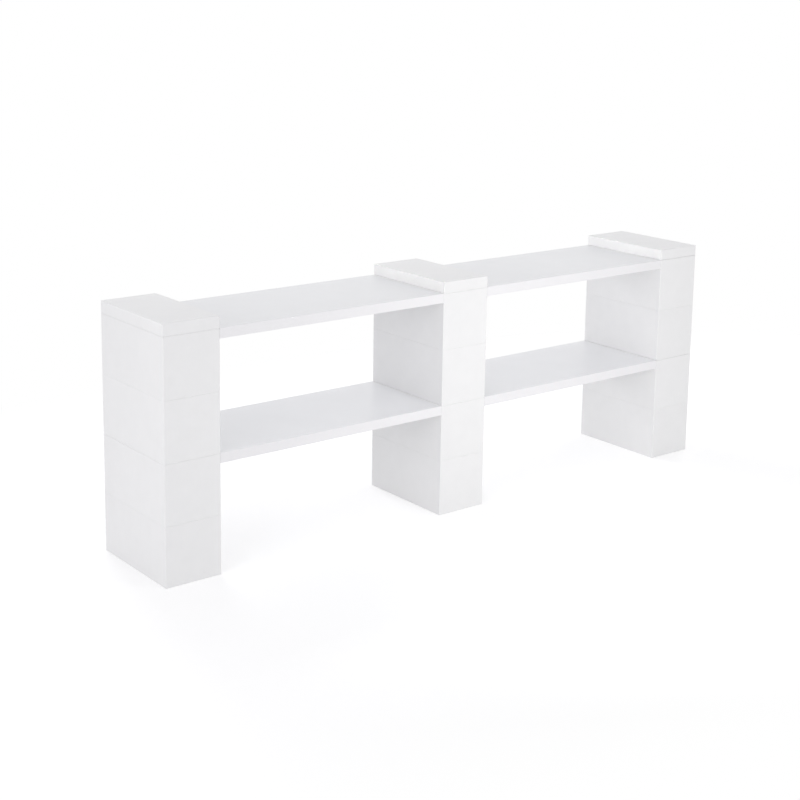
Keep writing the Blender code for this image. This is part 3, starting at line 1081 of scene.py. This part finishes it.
for bay in ("left", "right"):
    for level in LEVELS:
        shelf = f"{bay}_{level}_shelf"
        front, back = f"{shelf}_front_band", f"{shelf}_back_band"
        place_copy(board_pattern, FIRST_BOARD, f"{shelf}_board", LAMINATE, SHADE_RANGE)
        place_copy(band_pattern, FIRST_BAND, front, EDGE_BAND, SHADE_RANGE)
        place_copy(band_pattern, FIRST_BAND, back, EDGE_BAND, SHADE_RANGE, HALF_TURN)
        for number in SCREW_NUMBERS:
            screw = f"{shelf}_screw_{number}"
            turn = tones.uniform(0, QUARTER_TURN)
            place_copy(screw_pattern, FIRST_SCREW, screw, ZINC_PLATE, ZINC_RANGE, turn)

patterns = [block_pattern, cap_pattern, board_pattern, band_pattern, screw_pattern]
for pattern in patterns + list(saddle_patterns.values()):
    bpy.data.objects.remove(pattern, do_unlink=True)

# %% [markdown]
# ## Floor, surroundings and lamps
#
# The unit stands on a plain pale floor in a white room. A camera ray, or one that comes from a reflection,
# sees the room as white, but the light that the room gives off is plain and soft. Three of the Light Path
# node's outputs tell such rays from the ones that only carry light.

# %% Tell seen rays from rays that carry light
def add_seen_rays(owner):
    """1 for rays that come from the camera, a reflection or glass, and 0 for those that carry soft light."""
    path = add_node(owner, "ShaderNodeLightPath")
    seen = path.outputs["Is Camera Ray"]
    for name in ("Is Glossy Ray", "Is Transmission Ray"):
        seen = add_math(owner, "MAXIMUM", seen, path.outputs[name])
    return seen


def mix_shaders(owner, share, first, second):
    """Shows the first shader where the share is 0 and the second where it is 1."""
    return add_node(owner, "ShaderNodeMixShader", {"Fac": share, 1: first, 2: second}).outputs[0]


# %% [markdown]
# The floor is a plain pale grey. When it is seen, a faint glow is added that makes it just white in the
# open, so that it darkens where the unit keeps light away, and the unit's shadow stays. Further out it fades
# to pure white, because no shadow falls there and the far edge shouldn't show. The fade is an oval, drawn out
# along the unit.

# %% Lay the floor
FLOOR_SIDE = 24
FLOOR_GREY = (0.90, 0.90, 0.90)
FLOOR_GLOW = 0.20
FADE_FROM = 0.7
FADE_TO = 1.5
FADE_SQUEEZE = (0.55, 1, 1)


def add_fade(finish):
    """0 near the unit, rising to 1 further out."""
    place = add_node(finish, "ShaderNodeTexCoord").outputs["Object"]
    inputs = {"Vector": place, "Scale": FADE_SQUEEZE}
    oval = add_node(finish, "ShaderNodeMapping", inputs).outputs["Vector"]
    distance = add_node(finish, "ShaderNodeVectorMath", {0: oval}, operation="LENGTH").outputs["Value"]
    inputs = {"Value": distance, "From Min": FADE_FROM, "From Max": FADE_TO}
    return add_node(finish, "ShaderNodeMapRange", inputs, interpolation_type="SMOOTHSTEP").outputs["Result"]


def make_floor_finish():
    """Grey to the light. Where it is seen, the same grey with the glow, fading to pure white."""
    finish = bpy.data.materials.new("pale_floor")
    finish.use_nodes = True
    nodes = finish.node_tree.nodes
    nodes.remove(nodes["Principled BSDF"])
    grey = add_node(finish, "ShaderNodeBsdfDiffuse", {"Color": (*FLOOR_GREY, 1)}).outputs[0]
    glow = add_node(finish, "ShaderNodeEmission", {"Strength": FLOOR_GLOW}).outputs[0]
    lifted = add_node(finish, "ShaderNodeAddShader", {0: grey, 1: glow}).outputs[0]
    white = add_node(finish, "ShaderNodeEmission").outputs[0]
    shown = mix_shaders(finish, add_fade(finish), lifted, white)
    either = mix_shaders(finish, add_seen_rays(finish), grey, shown)
    finish.node_tree.links.new(either, nodes["Material Output"].inputs["Surface"])
    return finish


def add_floor():
    deselect_all()
    bpy.ops.mesh.primitive_plane_add(size=FLOOR_SIDE, location=(0, 0, 0))
    floor = settle(bpy.context.object, "floor")
    floor.data.materials.append(make_floor_finish())
    print("floor:", FLOOR_SIDE, "m square, pure white from", FADE_TO, "m in front")


add_floor()

# %% [markdown]
# The world is the room's walls and ceiling. It gives every side of the unit the same plain light, a little
# under full strength, so that the whites keep their shading and nothing burns out.

# %% Light the room
ROOM_COLOUR = (0.985, 0.985, 1.0)
ROOM_STRENGTH = 0.725


def light_room():
    world = bpy.data.worlds.new("white_room")
    world.use_nodes = True
    nodes = world.node_tree.nodes
    soft = nodes["Background"]
    soft.inputs["Color"].default_value = (*ROOM_COLOUR, 1)
    soft.inputs["Strength"].default_value = ROOM_STRENGTH
    white = add_node(world, "ShaderNodeBackground", {"Color": (1, 1, 1, 1)})
    either = mix_shaders(world, add_seen_rays(world), soft.outputs[0], white.outputs[0])
    world.node_tree.links.new(either, nodes["World Output"].inputs["Surface"])
    bpy.context.scene.world = world


light_room()
bpy.context.scene.view_settings.view_transform = "Standard"
print("room:", ROOM_STRENGTH, "from all sides")

# %% [markdown]
# Six softboxes shape the unit a little, as in the picture. A small one stands close in front and points at
# the right bay, which makes the middle column's front the brightest face. A long low one fills the feet of
# the columns. One on the left lights the left column's side. The smallest is a thin strip with a grid that
# keeps its beam narrow. It skims the left cap and the shelves, and lights the sides of the other two caps,
# which stand out bright above the shelves. One behind, above the caps, shines through the bays onto the
# lower shelves, and the last one, on the right, serves the sides out of view.
#
# None of them shows in reflections. Seen from the far side and nearly level, a shelf would mirror the lamp
# opposite and burn out to white. The gloss mirrors the white room instead, which looks even from all sides.

# %% Add the softboxes
WARM_WHITE = (1.0, 0.995, 0.98)
COOL_WHITE = (0.99, 0.98, 1.0)
PLAIN_WHITE = (1.0, 1.0, 1.0)
STRIP_WHITE = (1.0, 1.0, 0.94)
UNIT_MIDDLE = (0, 0, 0.3)
LARGE_BOX = (1.2, 0.8)
NO_GRID = math.pi
NARROW_GRID = math.radians(13)


def add_softbox(name, place, target, size, watts, colour, beam=NO_GRID):
    """A rectangular lamp that points at the target. Its size is its width and its height."""
    lamp = bpy.data.lights.new(name, "AREA")
    lamp.shape = "RECTANGLE"
    lamp.size, lamp.size_y = size
    lamp.energy = watts
    lamp.color = colour
    lamp.spread = beam
    softbox = bpy.data.objects.new(name, lamp)
    bpy.context.scene.collection.objects.link(softbox)
    softbox.location = place
    look = Vector(target) - Vector(place)
    softbox.rotation_euler = look.to_track_quat("-Z", "Y").to_euler()
    softbox.visible_glossy = False
    print(f"{name}: {watts} W at {place}")


add_softbox("front_softbox", (0.0, -1.3, 0.7), (0.8, 0.05, 0.25), (0.5, 0.5), 4.2, WARM_WHITE)
add_softbox("low_softbox", (0.0, -2.2, 0.35), (0, 0, 0.2), (2.4, 0.5), 1.0, WARM_WHITE)
add_softbox("left_softbox", (-2.4, -0.9, 0.95), UNIT_MIDDLE, LARGE_BOX, 8.2, COOL_WHITE)
add_softbox("cap_strip", (-1.9, 0.0, 0.85), (0, 0, 0.66), (0.4, 0.04), 0.06, STRIP_WHITE, NARROW_GRID)
add_softbox("back_softbox", (0.0, 2.3, 1.5), UNIT_MIDDLE, LARGE_BOX, 18, COOL_WHITE)
add_softbox("right_softbox", (2.5, 0.65, 0.75), UNIT_MIDDLE, LARGE_BOX, 7.8, PLAIN_WHITE)
